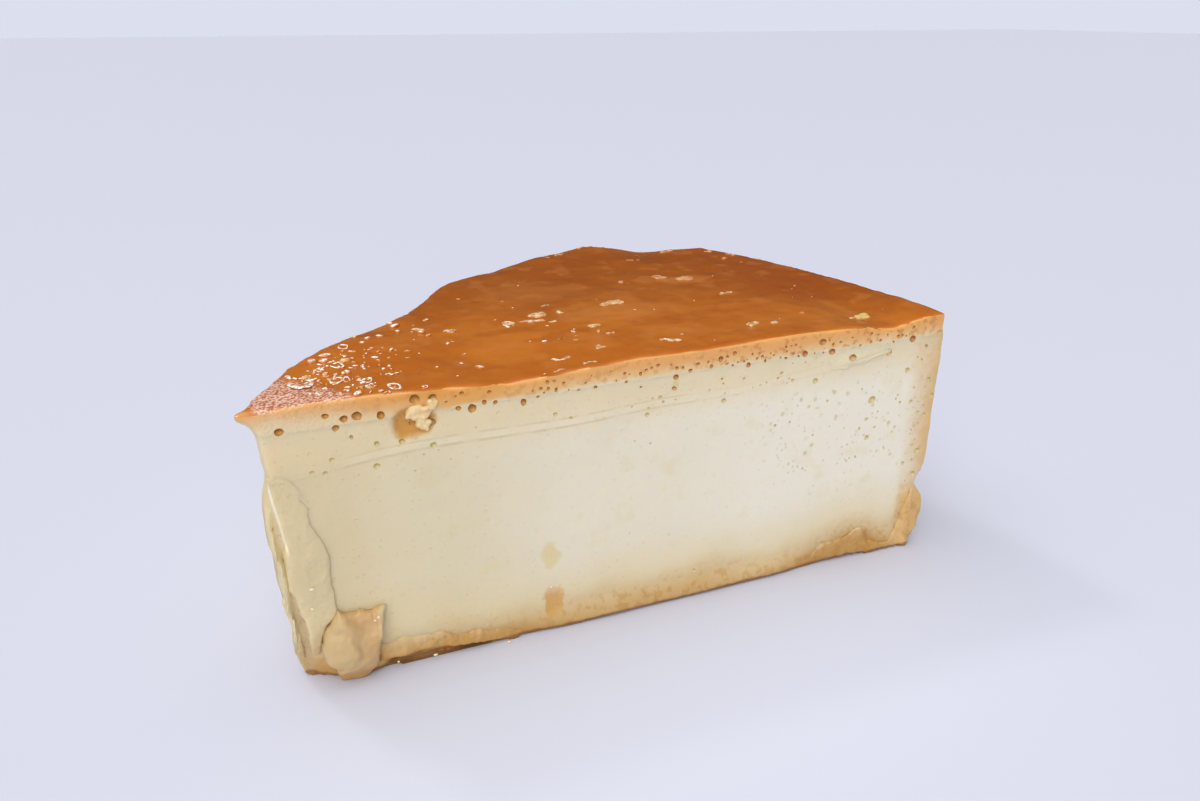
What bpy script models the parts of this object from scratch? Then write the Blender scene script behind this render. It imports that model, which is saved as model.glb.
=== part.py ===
"""One slice of leche flan, turned out with its caramel side up.

The slice lies with its front cut along X and its tip at the left. Three pieces make it: the
custard, the caramel layer that runs through the slice on top of it, and a chunk that broke
off and leans against the foot of the front cut. Sizes are in metres, +Z is up, and the
origin is at the middle of the slice's own box, on the surface that it stands on.
"""

import math

import bmesh
import bpy
from mathutils import Vector, noise

MM = 0.001

# The slice as it was cut from a round flan
SLICE_LENGTH = 85 * MM          # tip to rim, the radius of the mould
SLICE_HEIGHT = 34 * MM
CARAMEL_DEPTH = 2.4 * MM        # how far the caramel soaked into the custard
LAYER_GAP = 0.3 * MM            # kept between pieces that touch
RIM_SWEEP = math.radians(31.7)  # rim left whole, measured from the front cut
REAR_ANGLE = math.radians(44)   # direction of the rear cut's far end from the tip
REAR_REACH = 74.7 * MM          # distance of that end from the tip
REAR_BOW = 7.3 * MM             # how far the rear cut bulges between its ends
REAR_DENTS = (                  # shallow dents in it: place, half width, depth; a swelling is below 0
    (0.40, 0.11, 2.0 * MM), (0.66, 0.12, -1.5 * MM))
TIP_BLUNTNESS = 0.4             # power of the bulge's rise: the lower, the blunter the tip
CORNER_BLUNTNESS = 0.7          # the same at the rear corner
TIP_SHARE = 0.03                # share of the rear curve that forms the blunt tip
CORNER_BITE = 1.9 * MM          # depth of the bite in the broken rear corner
RIM_SHARE = 0.7                 # share of the rim side taken by the whole rim

# Relief of the top
FRONT_DIP = (27 * MM, 8 * MM, 0.6 * MM)     # place along the front, half width, depth
RIM_DIP = (76.5 * MM, 3.5 * MM, 0.8 * MM)
DIP_REACH = 16 * MM                         # how far the dips run in from the front cut
LIP_REACH = 2.4 * MM                        # caramel standing out past the tip
LIP_DEPTH = 0.9 * MM                        # thickness left at the lip

# Relief of the front cut
FLAP_WIDTH = 4.9 * MM           # curled strip beside the tip
FLAP_PROUD = 1.5 * MM
FLAP_FOOT, FLAP_HEAD = 4 * MM, 26 * MM
HOLLOW_DEPTH = 0.5 * MM         # shallow hollow beside the strip
HOLLOW_PLACE = (10 * MM, 15 * MM)
HEM_PROUD = 0.6 * MM            # torn hem along the foot of the front cut
HEM_START, HEM_END, HEM_TOP = 10 * MM, 26 * MM, 3.2 * MM
CRATER_PLACE = (15.3 * MM, 29.9 * MM)       # burst bubble under the caramel
CRATER_SIZE = (5 * MM, 2.8 * MM, 3.4 * MM)

# Relief of the tip and the rim
TOE_TUCK = 1.4 * MM             # how far the foot of the tip is worn back, along X
TOE_HEIGHT = 7 * MM
TOE_HOLLOW = 1.5 * MM           # how far its front is worn back, along Y
TOE_REACH = 6 * MM              # where along the front cut that ends
CRUST_PROUD = 0.7 * MM          # lobe of baked crust low on the rim
CRUST_HEIGHT = 6.3 * MM
NOTCH_DEPTH = 1.5 * MM          # bite out of the rim just above the lobe
NOTCH_HEIGHT = 9.6 * MM
RIM_TUCK = 1.8 * MM             # rounding at the foot of the rim
RIM_TUCK_HEIGHT = 2.5 * MM
UNEVENNESS = 0.3 * MM
UNEVEN_SPACING = 9 * MM

# The broken chunk
CHUNK_DEPTH = 2.6 * MM
CHUNK_HEIGHT = 9.6 * MM
CHUNK_LEFT = 4.7 * MM           # its left side at the foot and the top
CHUNK_BELLY = 1.3 * MM          # how far the left side bulges between them
CHUNK_RIGHT_FOOT, CHUNK_RIGHT_HEAD = 8.5 * MM, 10.3 * MM
CHUNK_SAG = 0.7 * MM            # dip in its top edge, between two corners
CHUNK_ROUNDING = 0.45           # 0 keeps a box, 1 makes it a ball
CHUNK_UNEVENNESS = 0.4 * MM
CHUNK_CUTS = 5

# Number of faces along, across and up the pieces
ALONG, ACROSS, LEVELS = 34, 20, 13
CARAMEL_LEVELS = 2
END_CROWDING = 0.6              # 0 spaces the faces evenly, 1 crowds them at both ends


def bell(value, centre, half_width):
    """A smooth hump, 1 at its centre."""
    return math.exp(-((value - centre) / half_width) ** 2)


def ramp(value, start, end):
    """Rises smoothly from 0 at start to 1 at end."""
    share = min(max((value - start) / (end - start), 0), 1)
    return share * share * (3 - 2 * share)


def wobble(x, y, z, spacing=UNEVEN_SPACING):
    """The gentle unevenness of a hand-cut slice, from -1 to 1."""
    return noise.noise(Vector((x, y, z)) / spacing)


def crowd_ends(share):
    """Moves evenly spaced shares towards 0 and 1, where the relief is finest."""
    eased = (1 - math.cos(math.pi * share)) / 2
    return share + (eased - share) * END_CROWDING


# --- The plan of the slice: four sides, each run through by a share from 0 to 1 ---

def rear_curve(share):
    """From the tip to the rear cut's far end, bulging away from the front cut."""
    along = Vector((math.cos(REAR_ANGLE), math.sin(REAR_ANGLE)))
    outward = Vector((-along.y, along.x))
    power = TIP_BLUNTNESS if share < 0.5 else CORNER_BLUNTNESS
    bow = REAR_BOW * max(math.sin(math.pi * share), 0) ** power
    bow -= sum(depth * bell(share, place, half_width) for place, half_width, depth in REAR_DENTS)
    return along * (REAR_REACH * share) + outward * bow


def front_side(share):
    return Vector((SLICE_LENGTH * share, 0))


def rear_side(share):
    return rear_curve(TIP_SHARE + (1 - TIP_SHARE) * share)


def tip_side(share):
    return rear_curve(TIP_SHARE * share * share)


def rim_side(share):
    """The whole rim as an arc round the tip, then the broken corner with its bite."""
    if share < RIM_SHARE:
        angle = RIM_SWEEP * share / RIM_SHARE
        return SLICE_LENGTH * Vector((math.cos(angle), math.sin(angle)))
    broken = (share - RIM_SHARE) / (1 - RIM_SHARE)
    start = SLICE_LENGTH * Vector((math.cos(RIM_SWEEP), math.sin(RIM_SWEEP)))
    end = rear_curve(1)
    inward = Vector((start.y - end.y, end.x - start.x)).normalized()
    return start.lerp(end, broken) + inward * CORNER_BITE * math.sin(math.pi * broken ** 0.7)


def plan_point(along, across):
    """Blends the four sides into a point inside the slice's outline."""
    front, rear = front_side(along), rear_side(along)
    tip, rim = tip_side(across), rim_side(across)
    between_cuts = front.lerp(rear, across)
    between_ends = tip.lerp(rim, along)
    corners = front_side(0).lerp(front_side(1), along).lerp(
        rear_side(0).lerp(rear_side(1), along), across)
    return between_cuts + between_ends - corners


# --- Heights and relief ---

def top_level(x, y):
    """Height of the caramel's top."""
    reach = bell(y, 0, DIP_REACH)
    dips = sum(depth * bell(x, place, width) for place, width, depth in (FRONT_DIP, RIM_DIP))
    return SLICE_HEIGHT - dips * reach + UNEVENNESS * wobble(x, y, 0, 2 * UNEVEN_SPACING)


def custard_level(x, y):
    """Height of the custard's top, under the caramel."""
    depth = CARAMEL_DEPTH * (1 + 0.15 * wobble(x, y, 1))
    return top_level(x, y) - depth - LAYER_GAP


def front_relief(x, z):
    """How far the front cut stands out (negative Y) or is hollow (positive Y)."""
    flap_edge = FLAP_WIDTH * (0.6 + 0.4 * bell(z, 14 * MM, 9 * MM))
    flap_height = ramp(z, FLAP_FOOT, FLAP_FOOT + 4 * MM) * ramp(z, FLAP_HEAD, FLAP_HEAD - 6 * MM)
    flap = FLAP_PROUD * flap_height * ramp(x, flap_edge + 1 * MM, flap_edge - 2.5 * MM)
    hollow = HOLLOW_DEPTH * bell(x, HOLLOW_PLACE[0], 4 * MM) * bell(z, HOLLOW_PLACE[1], 8 * MM)
    hem = (HEM_PROUD * ramp(z, HEM_TOP, 0) * ramp(x, HEM_START, HEM_START + 2 * MM)
           * ramp(x, HEM_END, HEM_END - 4 * MM))
    return hollow - flap - hem + UNEVENNESS * 0.6 * wobble(x, 0, z)


def toe_relief(x, z):
    """How far the foot of the tip is worn back, along X and along Y."""
    low = ramp(z, TOE_HEIGHT, 0)
    return TOE_TUCK * low, TOE_HOLLOW * low * ramp(x, TOE_REACH, 0)


def rim_relief(angle, z):
    """How far the rim stands out from its arc."""
    near_front = bell(angle, 0, math.radians(12))
    crust = CRUST_PROUD * bell(z, CRUST_HEIGHT, 2.4 * MM) * near_front
    notch = NOTCH_DEPTH * bell(z, NOTCH_HEIGHT, 1.3 * MM) * bell(angle, 0, math.radians(7))
    tuck = RIM_TUCK * ramp(z, RIM_TUCK_HEIGHT, 0) ** 2
    return crust - notch - tuck + UNEVENNESS * wobble(angle * SLICE_LENGTH, 2, z)


def wall_point(along, across, z):
    """A plan point with the relief of the nearest walls, at a height."""
    point = plan_point(along, across)
    angle = math.atan2(point.y, point.x)
    rim_pull = rim_relief(angle, z) * along ** 8
    rear_pull = 2 * UNEVENNESS * wobble(point.x, point.y, z) * across ** 6 * ramp(along, 0, 0.2)
    point += Vector((math.cos(angle), math.sin(angle))) * rim_pull
    point += Vector((-math.sin(REAR_ANGLE), math.cos(REAR_ANGLE))) * rear_pull
    tuck, hollow = toe_relief(point.x, z)
    point.y += front_relief(point.x, z) * (1 - across) ** 6 + hollow * (1 - across) ** 1.5
    point.x += tuck * (1 - along) ** 2
    return point


def custard_point(along, across, up):
    z = up * (SLICE_HEIGHT - CARAMEL_DEPTH - LAYER_GAP)
    point = wall_point(along, across, z)
    return Vector((point.x, point.y, up * custard_level(point.x, point.y)))


def caramel_point(along, across, up):
    """The layer ends flush with the custard, save at the tip, where it stands out as a lip."""
    point = wall_point(along, across, SLICE_HEIGHT)
    lip = (1 - along) ** 14 * (1 - across) ** 2
    thickness = top_level(point.x, point.y) - custard_level(point.x, point.y) - LAYER_GAP
    thickness -= (thickness - LIP_DEPTH) * lip
    top = top_level(point.x, point.y)
    return Vector((point.x - LIP_REACH * lip, point.y, top - thickness * (1 - up)))


# --- Building ---

def new_collection(name):
    collection = bpy.data.collections.new(name)
    bpy.context.scene.collection.children.link(collection)
    return collection


def food_material(name, colour, roughness):
    material = bpy.data.materials.new(name)
    material.use_nodes = True
    shader = material.node_tree.nodes["Principled BSDF"]
    shader.inputs["Base Color"].default_value = (*colour, 1)
    shader.inputs["Roughness"].default_value = roughness
    shader.inputs["Metallic"].default_value = 0
    return material


def mesh_object(name, mesh_builder, collection, material):
    mesh = bpy.data.meshes.new(name)
    mesh_builder.to_mesh(mesh)
    mesh_builder.free()
    mesh.materials.append(material)
    mesh.shade_smooth()
    mesh.set_sharp_from_angle(angle=math.radians(40))
    piece = bpy.data.objects.new(name, mesh)
    collection.objects.link(piece)
    return piece


def shaped_block(levels, shape_point):
    """A block of ALONG x ACROSS x levels faces, each corner moved to where its shares say."""
    block = bmesh.new()
    bmesh.ops.create_grid(block, x_segments=ALONG, y_segments=ACROSS, size=0.5)
    bmesh.ops.translate(block, verts=block.verts, vec=(0.5, 0.5, 0))
    base = block.faces[:]
    raised = bmesh.ops.extrude_face_region(block, geom=base, use_keep_orig=True)["geom"]
    lid = [item for item in raised if isinstance(item, bmesh.types.BMVert)]
    bmesh.ops.translate(block, verts=lid, vec=(0, 0, 1))
    uprights = [edge for edge in block.edges if edge.verts[0].co.z != edge.verts[1].co.z]
    bmesh.ops.subdivide_edges(block, edges=uprights, cuts=levels - 1)
    for corner in block.verts:
        along, across, up = corner.co
        corner.co = shape_point(crowd_ends(along), crowd_ends(across), up)
    if block.calc_volume(signed=True) < 0:
        bmesh.ops.reverse_faces(block, faces=block.faces)
    return block


def crater_cutter(collection):
    """A flattened ball that scoops the burst bubble out of the front cut."""
    ball = bmesh.new()
    bmesh.ops.create_icosphere(ball, subdivisions=2, radius=0.5)
    bmesh.ops.scale(ball, vec=CRATER_SIZE, verts=ball.verts)
    mesh = bpy.data.meshes.new("crater_cutter")
    ball.to_mesh(mesh)
    ball.free()
    cutter = bpy.data.objects.new("crater_cutter", mesh)
    cutter.location = (CRATER_PLACE[0], 0, CRATER_PLACE[1])
    cutter.hide_render = True
    cutter.display_type = "WIRE"
    collection.objects.link(cutter)
    return cutter


def build_custard(collection, cutters):
    material = food_material("baked_custard", (0.80, 0.69, 0.47), 0.45)
    custard = mesh_object("custard", shaped_block(LEVELS, custard_point), collection, material)
    scoop = custard.modifiers.new("burst bubble", "BOOLEAN")
    scoop.object = crater_cutter(cutters)
    scoop.operation = "DIFFERENCE"
    scoop.solver = "EXACT"
    return custard


def build_caramel(collection):
    material = food_material("caramel_top", (0.50, 0.19, 0.04), 0.15)
    block = shaped_block(CARAMEL_LEVELS, caramel_point)
    return mesh_object("caramel_layer", block, collection, material)


def chunk_point(across, outward, up):
    """A rounded slab, wider at the head, its back following the front cut; shares 0 to 1."""
    left = CHUNK_LEFT - CHUNK_BELLY * math.sin(math.pi * up)
    right = CHUNK_RIGHT_FOOT + (CHUNK_RIGHT_HEAD - CHUNK_RIGHT_FOOT) * up
    x = left + (right - left) * across
    z = up * (CHUNK_HEIGHT - CHUNK_SAG * math.sin(math.pi * across))
    depth = CHUNK_DEPTH * (0.6 + 0.4 * math.sin(math.pi * up))
    depth += CHUNK_UNEVENNESS * wobble(x, 0, z, 3 * MM)
    wall = front_relief(x, z) - 2 * LAYER_GAP
    return Vector((x, wall - depth * outward, z))


def build_chunk(collection):
    """A subdivided box, rounded part of the way towards a ball and then shaped."""
    material = food_material("broken_custard", (0.78, 0.62, 0.36), 0.4)
    chunk = bmesh.new()
    bmesh.ops.create_cube(chunk, size=2)
    bmesh.ops.subdivide_edges(chunk, edges=chunk.edges[:], cuts=CHUNK_CUTS, use_grid_fill=True)
    for corner in chunk.verts:
        rounded = corner.co.lerp(corner.co.normalized(), CHUNK_ROUNDING)
        across, inward, up = rounded / 2 + Vector((0.5, 0.5, 0.5))
        corner.co = chunk_point(across, 1 - inward, max(up, 0))
    lowest = min(corner.co.z for corner in chunk.verts)
    bmesh.ops.translate(chunk, verts=chunk.verts, vec=(0, 0, -lowest))
    bmesh.ops.recalc_face_normals(chunk, faces=chunk.faces)
    return mesh_object("broken_chunk", chunk, collection, material)


def stand_on_origin(pieces):
    """Parents the pieces to an empty that brings the middle of their box to the origin."""
    corners = [corner.co for piece in pieces for corner in piece.data.vertices]
    lows = [min(corner[axis] for corner in corners) for axis in range(3)]
    highs = [max(corner[axis] for corner in corners) for axis in range(3)]
    place = bpy.data.objects.new("slice_place", None)
    place.location = (-(lows[0] + highs[0]) / 2, -(lows[1] + highs[1]) / 2, -lows[2])
    pieces[0].users_collection[0].objects.link(place)
    return place


def build_slice():
    for leftover in list(bpy.data.objects):
        bpy.data.objects.remove(leftover)
    slice_parts = new_collection("leche_flan")
    cutters = new_collection("leche_flan_cutters")
    pieces = [build_custard(slice_parts, cutters), build_caramel(slice_parts),
              build_chunk(slice_parts)]
    place = stand_on_origin(pieces)
    for piece in pieces + list(cutters.objects):
        piece.parent = place


build_slice()
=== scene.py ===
import math
import random

import bpy
import numpy as np
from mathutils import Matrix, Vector, noise


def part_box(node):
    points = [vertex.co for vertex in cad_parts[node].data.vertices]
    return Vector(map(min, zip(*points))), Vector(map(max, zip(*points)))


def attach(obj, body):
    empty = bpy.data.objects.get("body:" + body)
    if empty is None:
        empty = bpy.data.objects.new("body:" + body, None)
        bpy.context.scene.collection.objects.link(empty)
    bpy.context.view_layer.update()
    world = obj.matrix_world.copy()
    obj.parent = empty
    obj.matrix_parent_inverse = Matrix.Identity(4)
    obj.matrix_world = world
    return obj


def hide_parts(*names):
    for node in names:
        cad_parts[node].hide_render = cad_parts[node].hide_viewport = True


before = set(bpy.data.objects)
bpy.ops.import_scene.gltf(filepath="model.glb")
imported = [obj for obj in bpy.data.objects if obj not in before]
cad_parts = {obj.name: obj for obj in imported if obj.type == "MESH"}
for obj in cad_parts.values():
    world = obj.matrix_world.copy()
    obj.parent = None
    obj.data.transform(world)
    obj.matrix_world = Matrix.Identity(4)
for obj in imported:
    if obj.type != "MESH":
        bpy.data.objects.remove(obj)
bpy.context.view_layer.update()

mm = 0.001
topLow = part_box("caramel_layer")[0]

# Places on the slice are given in millimetres from the foot of its tip: x along the front cut,
# y back from it, z up. The caramel's lip stands out past the tip.
lipReach = 2.4
tip = Vector((topLow.x + lipReach * mm, topLow.y + 0.1 * mm, 0))


def place(x, y, z):
    return tip + Vector((x, y, z)) * mm


# Selecting and editing

def selectOnly(*pieces):
    bpy.ops.object.select_all(action="DESELECT")
    for piece in pieces:
        piece.select_set(True)
    bpy.context.view_layer.objects.active = pieces[0]


def editWhole(piece, operation, **settings):
    selectOnly(piece)
    bpy.ops.object.mode_set(mode="EDIT")
    bpy.ops.mesh.select_all(action="SELECT")
    operation(**settings)
    bpy.ops.object.mode_set(mode="OBJECT")


def applyModifier(piece, kind, **settings):
    selectOnly(piece)
    modifier = piece.modifiers.new(kind.lower(), kind)
    for name, value in settings.items():
        setattr(modifier, name, value)
    bpy.ops.object.modifier_apply(modifier=modifier.name)


def joinPieces(pieces, name):
    selectOnly(*pieces)
    if len(pieces) > 1:
        bpy.ops.object.join()
    joined = bpy.context.view_layer.objects.active
    joined.name = name
    joined.data.name = name
    bpy.ops.object.transform_apply(location=True, rotation=True, scale=True)
    return joined


def copyOfNode(nodeName, pieceName):
    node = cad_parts[nodeName]
    piece = bpy.data.objects.new(pieceName, node.data.copy())
    bpy.context.scene.collection.objects.link(piece)
    piece.data.materials.clear()
    editWhole(piece, bpy.ops.mesh.remove_doubles, threshold=0.00001)
    return piece


def ownCopy(piece):
    # a copy with a mesh of its own
    other = piece.copy()
    other.data = piece.data.copy()
    bpy.context.scene.collection.objects.link(other)
    return other


def ball(subdivisions=2):
    bpy.ops.mesh.primitive_ico_sphere_add(subdivisions=subdivisions, radius=0.5)
    return bpy.context.object


def repeated(model, spots, name):
    # spots are (place, size, turn, tilt)
    copies = []
    for spot, size, turn, tilt in spots:
        one = ownCopy(model)
        one.location = spot
        one.scale = size
        one.rotation_euler = (tilt, 0, turn)
        copies.append(one)
    bpy.data.objects.remove(model)
    return joinPieces(copies, name)


def readVectors(piece, kind):
    flat = np.empty(len(piece.data.vertices) * 3)
    piece.data.vertices.foreach_get(kind, flat)
    return flat.reshape(-1, 3)


def readPoints(piece):
    return (readVectors(piece, "co") - np.array(tip)) / mm


def writePoints(piece, points):
    piece.data.vertices.foreach_set("co", (points * mm + np.array(tip)).ravel())
    piece.data.update()


def readNormals(piece):
    return readVectors(piece, "normal")


def fineBlock(cuts):
    # a cube with a fine grid on each side, and its points' places in it, from -1 to 1
    bpy.ops.mesh.primitive_cube_add(size=2)
    block = bpy.context.object
    editWhole(block, bpy.ops.mesh.subdivide, number_cuts=cuts)
    return block, readVectors(block, "co").T


def touch(piece, start, direction):
    # where a straight line from start first meets the piece, in metres
    piece.data.update()
    found, spot = piece.ray_cast(start, direction)[:2]
    return spot if found else None


def ramp(value, start, end):
    share = np.clip((value - start) / (end - start), 0, 1)
    return share * share * (3 - 2 * share)


def bell(value, centre, halfWidth):
    return np.exp(-((value - centre) / halfWidth) ** 2)


def through(value, *stops):
    # a line drawn through given stops, each (value, result)
    values, results = zip(*stops)
    return np.interp(value, values, results)


def lumps(points, spacing, seed):
    # smooth noise at each point, about -1 to 1
    shift = Vector((seed, seed, seed))
    return np.array([noise.noise(Vector(point) / spacing + shift) for point in points])


def raggedness(value, spacing, seed):
    # the same along a line
    return np.array([noise.noise(Vector((one / spacing, seed, 0.5))) for one in value])


def melt(piece, voxel, *layers):
    # one skin for the whole piece, roughened by layers of (height, spacing, seed)
    applyModifier(piece, "REMESH", mode="VOXEL", voxel_size=voxel * mm)
    points, normals = readPoints(piece), readNormals(piece)
    rough = sum(height * lumps(points, spacing, seed) for height, spacing, seed in layers)
    points += normals * rough[:, None]
    points[:, 2] = np.maximum(points[:, 2], 0)
    writePoints(piece, points)


def finishPiece(piece, material, angle=45, nodes=()):
    if material:
        piece.data.materials.clear()
        piece.data.materials.append(material)
    selectOnly(piece)
    bpy.ops.object.shade_smooth_by_angle(angle=math.radians(angle))
    bpy.ops.object.select_all(action="DESELECT")
    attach(piece, "root")
    if nodes:
        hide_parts(*nodes)


# Shader maths: a Wire is a node's output, and sums on wires add the nodes that work them out

def wireMaths(operation, reflected=False):
    def work(self, other):
        first, second = (other, self) if reflected else (self, other)
        return self.bench.maths(operation, first, second)
    return work


class Wire:
    def __init__(self, bench, socket):
        self.bench = bench
        self.socket = socket

    __add__ = wireMaths("ADD")
    __radd__ = wireMaths("ADD", reflected=True)
    __sub__ = wireMaths("SUBTRACT")
    __rsub__ = wireMaths("SUBTRACT", reflected=True)
    __mul__ = wireMaths("MULTIPLY")
    __rmul__ = wireMaths("MULTIPLY", reflected=True)
    __truediv__ = wireMaths("DIVIDE")
    __pow__ = wireMaths("POWER")


class Bench:
    def __init__(self, tree):
        self.tree = tree

    def node(self, kind, settings, sockets, output=0):
        made = self.tree.nodes.new(kind)
        for name, value in settings.items():
            setattr(made, name, value)
        for name, value in sockets.items():
            self.feed(made.inputs[name], value)
        return Wire(self, made.outputs[output])

    def feed(self, socket, value):
        if isinstance(value, Wire):
            self.tree.links.new(value.socket, socket)
        else:
            socket.default_value = value

    def maths(self, operation, first, second):
        return self.node("ShaderNodeMath", {"operation": operation}, {0: first, 1: second})

    def rise(self, value, start, end):
        # 0 up to start, 1 from end on
        return self.node("ShaderNodeMapRange", {"interpolation_type": "SMOOTHSTEP"}, {
            "Value": value, "From Min": start, "From Max": end})

    def blend(self, first, second, share):
        mixed = self.node("ShaderNodeMix", {"data_type": "RGBA"}, {0: share}, 2)
        inputs = mixed.socket.node.inputs
        for socket, value in ((inputs[6], first), (inputs[7], second)):
            self.feed(socket, value if isinstance(value, Wire) else (*value, 1))
        return mixed

    def layered(self, colour, tints, *layers):
        # tints laid over a colour in turn, each (name, share)
        for name, share in layers:
            colour = self.blend(colour, tints[name], share)
        return colour


class Finish(Bench):
    def __init__(self, name):
        self.material = bpy.data.materials.new(name)
        self.material.use_nodes = True
        super().__init__(self.material.node_tree)
        self.shader = self.tree.nodes["Principled BSDF"]
        where = self.node("ShaderNodeTexCoord", {}, {}, "Object")
        self.spot = self.node("ShaderNodeMapping", {}, {
            "Vector": where, "Location": tuple(-tip / mm), "Scale": (1 / mm,) * 3})
        split = self.node("ShaderNodeSeparateXYZ", {}, {"Vector": self.spot}).socket.node
        self.x, self.y, self.z = (Wire(self, split.outputs[axis]) for axis in "XYZ")
        facing = self.node("ShaderNodeNewGeometry", {}, {}, "Normal")
        self.up = self.node("ShaderNodeSeparateXYZ", {}, {"Vector": facing}, "Z")
        self.front = self.fall(self.y, 2.6, 4.0)   # 1 on the front cut

    def fall(self, value, start, end):
        return 1 - self.rise(value, start, end)

    def between(self, value, start, full, fullEnd, end):
        # 1 from full to fullEnd, 0 before start and after end
        return self.rise(value, start, full) * self.fall(value, fullEnd, end)

    def clouds(self, size, detail=2.0, stretch=(1, 1, 1), shift=0.0):
        spot = self.node("ShaderNodeMapping", {}, {
            "Vector": self.spot, "Location": (shift,) * 3, "Scale": stretch})
        return self.node("ShaderNodeTexNoise", {}, {
            "Vector": spot, "Scale": 1 / size, "Detail": detail}, "Fac")

    def dots(self, spacing, radius, shift=0.0):
        # round specks, 1 inside, from the cells' middles; radius is a share of the spacing
        spot = self.node("ShaderNodeMapping", {}, {
            "Vector": self.spot, "Location": (shift,) * 3})
        nearest = self.node("ShaderNodeTexVoronoi", {}, {
            "Vector": spot, "Scale": 1 / spacing}, "Distance")
        return self.fall(nearest, 0.7 * radius, radius)

    def patch(self, across, up, halfAcross, halfUp, first=None, second=None):
        # a soft-edged oval
        first = first or self.x
        second = second or self.z
        flat = ((first - across) / halfAcross) ** 2 + ((second - up) / halfUp) ** 2
        return self.fall(flat, 0.4, 1.4)

    def bump(self, height, depth):
        return self.node("ShaderNodeBump", {}, {"Height": height, "Distance": depth * mm})

    def wear(self, under=None, **sockets):
        # under is the light under the skin: its share, its depth in metres, its spread
        names = {"colour": "Base Color", "roughness": "Roughness", "normal": "Normal",
                 "gloss": "Specular IOR Level"}
        if under:
            for name, value in zip(("Weight", "Scale", "Radius"), under):
                self.feed(self.shader.inputs["Subsurface " + name], value)
        for name, value in sockets.items():
            if name == "colour" and not isinstance(value, Wire):
                value = (*value, 1)
            self.feed(self.shader.inputs[names[name]], value)
        return self.material


def shown(red, green, blue, light=0.92):
    # a colour as it shows on a screen, 0 to 255, under the light that falls on it
    return tuple(((part / 255 + 0.055) / 1.055) ** 2.4 / light for part in (red, green, blue))


def tintsOf(**colours):
    # a table of tints from the colours they show on a screen
    return {name: shown(*colour) for name, colour in colours.items()}


# How far red, green and blue light spreads under the skin

custardSpread = (1.0, 0.7, 0.4)
caramelSpread = (1.0, 0.6, 0.3)


# The camera stands before the tip and looks down on the front cut

cameraFacts = {
    "place": (0.7, -88.9, 70.3),   # millimetres from the tip's foot
    "downTilt": 23.03, "turn": -21.9, "lens": 27.52, "sensor": 36.0,
    "nearest": 5,   # millimetres; nothing nearer is drawn
}


def addCamera():
    bpy.ops.object.camera_add(location=place(*cameraFacts["place"]))
    camera = bpy.context.object
    camera.name = "view_camera"
    camera.rotation_euler = (math.radians(90 - cameraFacts["downTilt"]), 0,
                             math.radians(cameraFacts["turn"]))
    camera.data.lens = cameraFacts["lens"]
    camera.data.sensor_width = cameraFacts["sensor"]
    camera.data.clip_start = cameraFacts["nearest"] * mm
    bpy.context.scene.camera = camera


# Soft lamps without fall-off, two broad and two narrow; the narrow ones draw the glints

studio = {
    "floorWidth": 6.0, "floorColour": shown(213, 215, 230, 1.0), "floorRoughness": 0.7,
    "floorGloss": 0.12, "backdrop": (0.71, 0.74, 0.86),
    "sky": (0.95, 0.97, 1.0), "skyTop": 0.9, "skyLow": 0.05,
    "skyRise": (0.62, 0.95),   # between these heights, as a share, the sky grows bright
    "lamps": (   # name, where it shines from, spread in degrees, strength, colour
        ("overhead_lamp", (-0.30, 0.10, 1.0), 70, 1.15, (1.0, 0.995, 0.99)),
        ("front_lamp", (-0.45, -1.0, 0.62), 60, 1.62, (0.99, 0.985, 0.98)),
        ("glint_lamp", (-0.50, 0.75, 1.05), 8, 0.30, (1.0, 0.98, 0.96)),
        ("front_glint_lamp", (-0.25, -0.7, 1.0), 6, 0.15, (1.0, 0.99, 0.97)),
    ),
}


def addWorld():
    world = bpy.data.worlds.new("soft_studio")
    bpy.context.scene.world = world
    world.use_nodes = True
    bench = Bench(world.node_tree)
    lit = world.node_tree.nodes["Background"]
    direction = bench.node("ShaderNodeTexCoord", {}, {}, "Generated")
    height = bench.node("ShaderNodeSeparateXYZ", {}, {"Vector": direction}, "Z")
    brighter = (studio["skyTop"] - studio["skyLow"]) * bench.rise(height, *studio["skyRise"])
    bench.feed(lit.inputs["Strength"], studio["skyLow"] + brighter)
    lit.inputs["Color"].default_value = (*studio["sky"], 1)
    seen = bench.node("ShaderNodeBackground", {}, {"Color": (*studio["backdrop"], 1)})
    eye = bench.node("ShaderNodeLightPath", {}, {}, "Is Camera Ray")
    both = bench.node("ShaderNodeMixShader", {}, {0: eye, 1: Wire(bench, lit.outputs[0]), 2: seen})
    bench.feed(world.node_tree.nodes["World Output"].inputs["Surface"], both)


def addStudio():
    bpy.ops.mesh.primitive_plane_add(size=studio["floorWidth"])
    floor = bpy.context.object
    floor.name = "studio_floor"
    finish = Finish("plain_pale_floor")
    floor.data.materials.append(finish.wear(
        colour=studio["floorColour"], roughness=studio["floorRoughness"],
        gloss=studio["floorGloss"]))
    addWorld()
    for name, source, spread, strength, colour in studio["lamps"]:
        bpy.ops.object.light_add(type="SUN", location=Vector(source) * 0.5)
        lamp = bpy.context.object
        lamp.name = name
        lamp.rotation_euler = Vector(source).to_track_quat("Z", "Y").to_euler()
        lamp.data.angle = math.radians(spread)
        lamp.data.energy = strength
        lamp.data.color = colour
    bpy.context.scene.view_settings.view_transform = "Standard"


# The slice: one whole body first, so that the caramel and the custard run flush at the cuts

sliceFacts = {
    "roughVoxel": 0.45, "fineVoxel": 0.37,
    "seamHeight": 31.35,         # where the caramel piece is parted from the custard piece
    "overlap": 1.2,              # raises the custard, to close the layers' gap
    "cutUnevenness": 0.10, "wallUnevenness": 0.30, "topUnevenness": 0.13,
    "lipThinner": 0.4,           # how much of the lip's underside goes at its tip
}

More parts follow.
